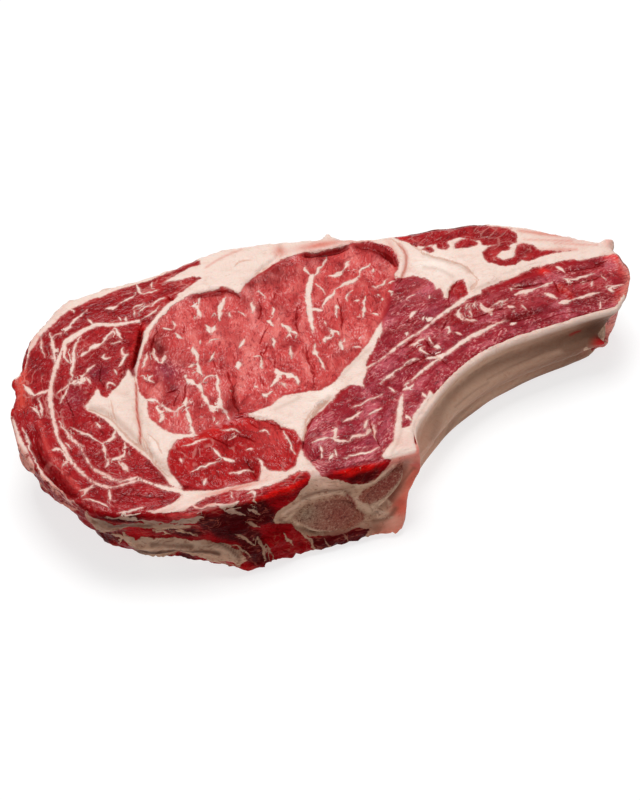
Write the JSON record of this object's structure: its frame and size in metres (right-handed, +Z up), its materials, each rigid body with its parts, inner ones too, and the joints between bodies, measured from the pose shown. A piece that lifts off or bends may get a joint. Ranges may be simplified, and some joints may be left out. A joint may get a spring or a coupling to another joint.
{
  "type": "raw rib steak",
  "caption": "Thick raw bone-in rib steak: a flat slab of marbled meat with a curved rib along its hollow side, resting flat on a board, tray or pan.",
  "frame": {"origin": "on the underside, below the middle of the steak's bounding box", "axes": "+X along the rib towards its thin end, +Y towards the fat back edge, +Z up out of the top cut face"},
  "size_m": [0.2777, 0.1436, 0.0424],
  "materials": {
    "meat": "moist raw lean with cream fat",
    "bone": "damp bone under pale membrane"
  },
  "bodies": {
    "root": {"meat": "meat", "rib_bone": "bone", "chine_bone": "bone"}
  },
  "joints": []
}
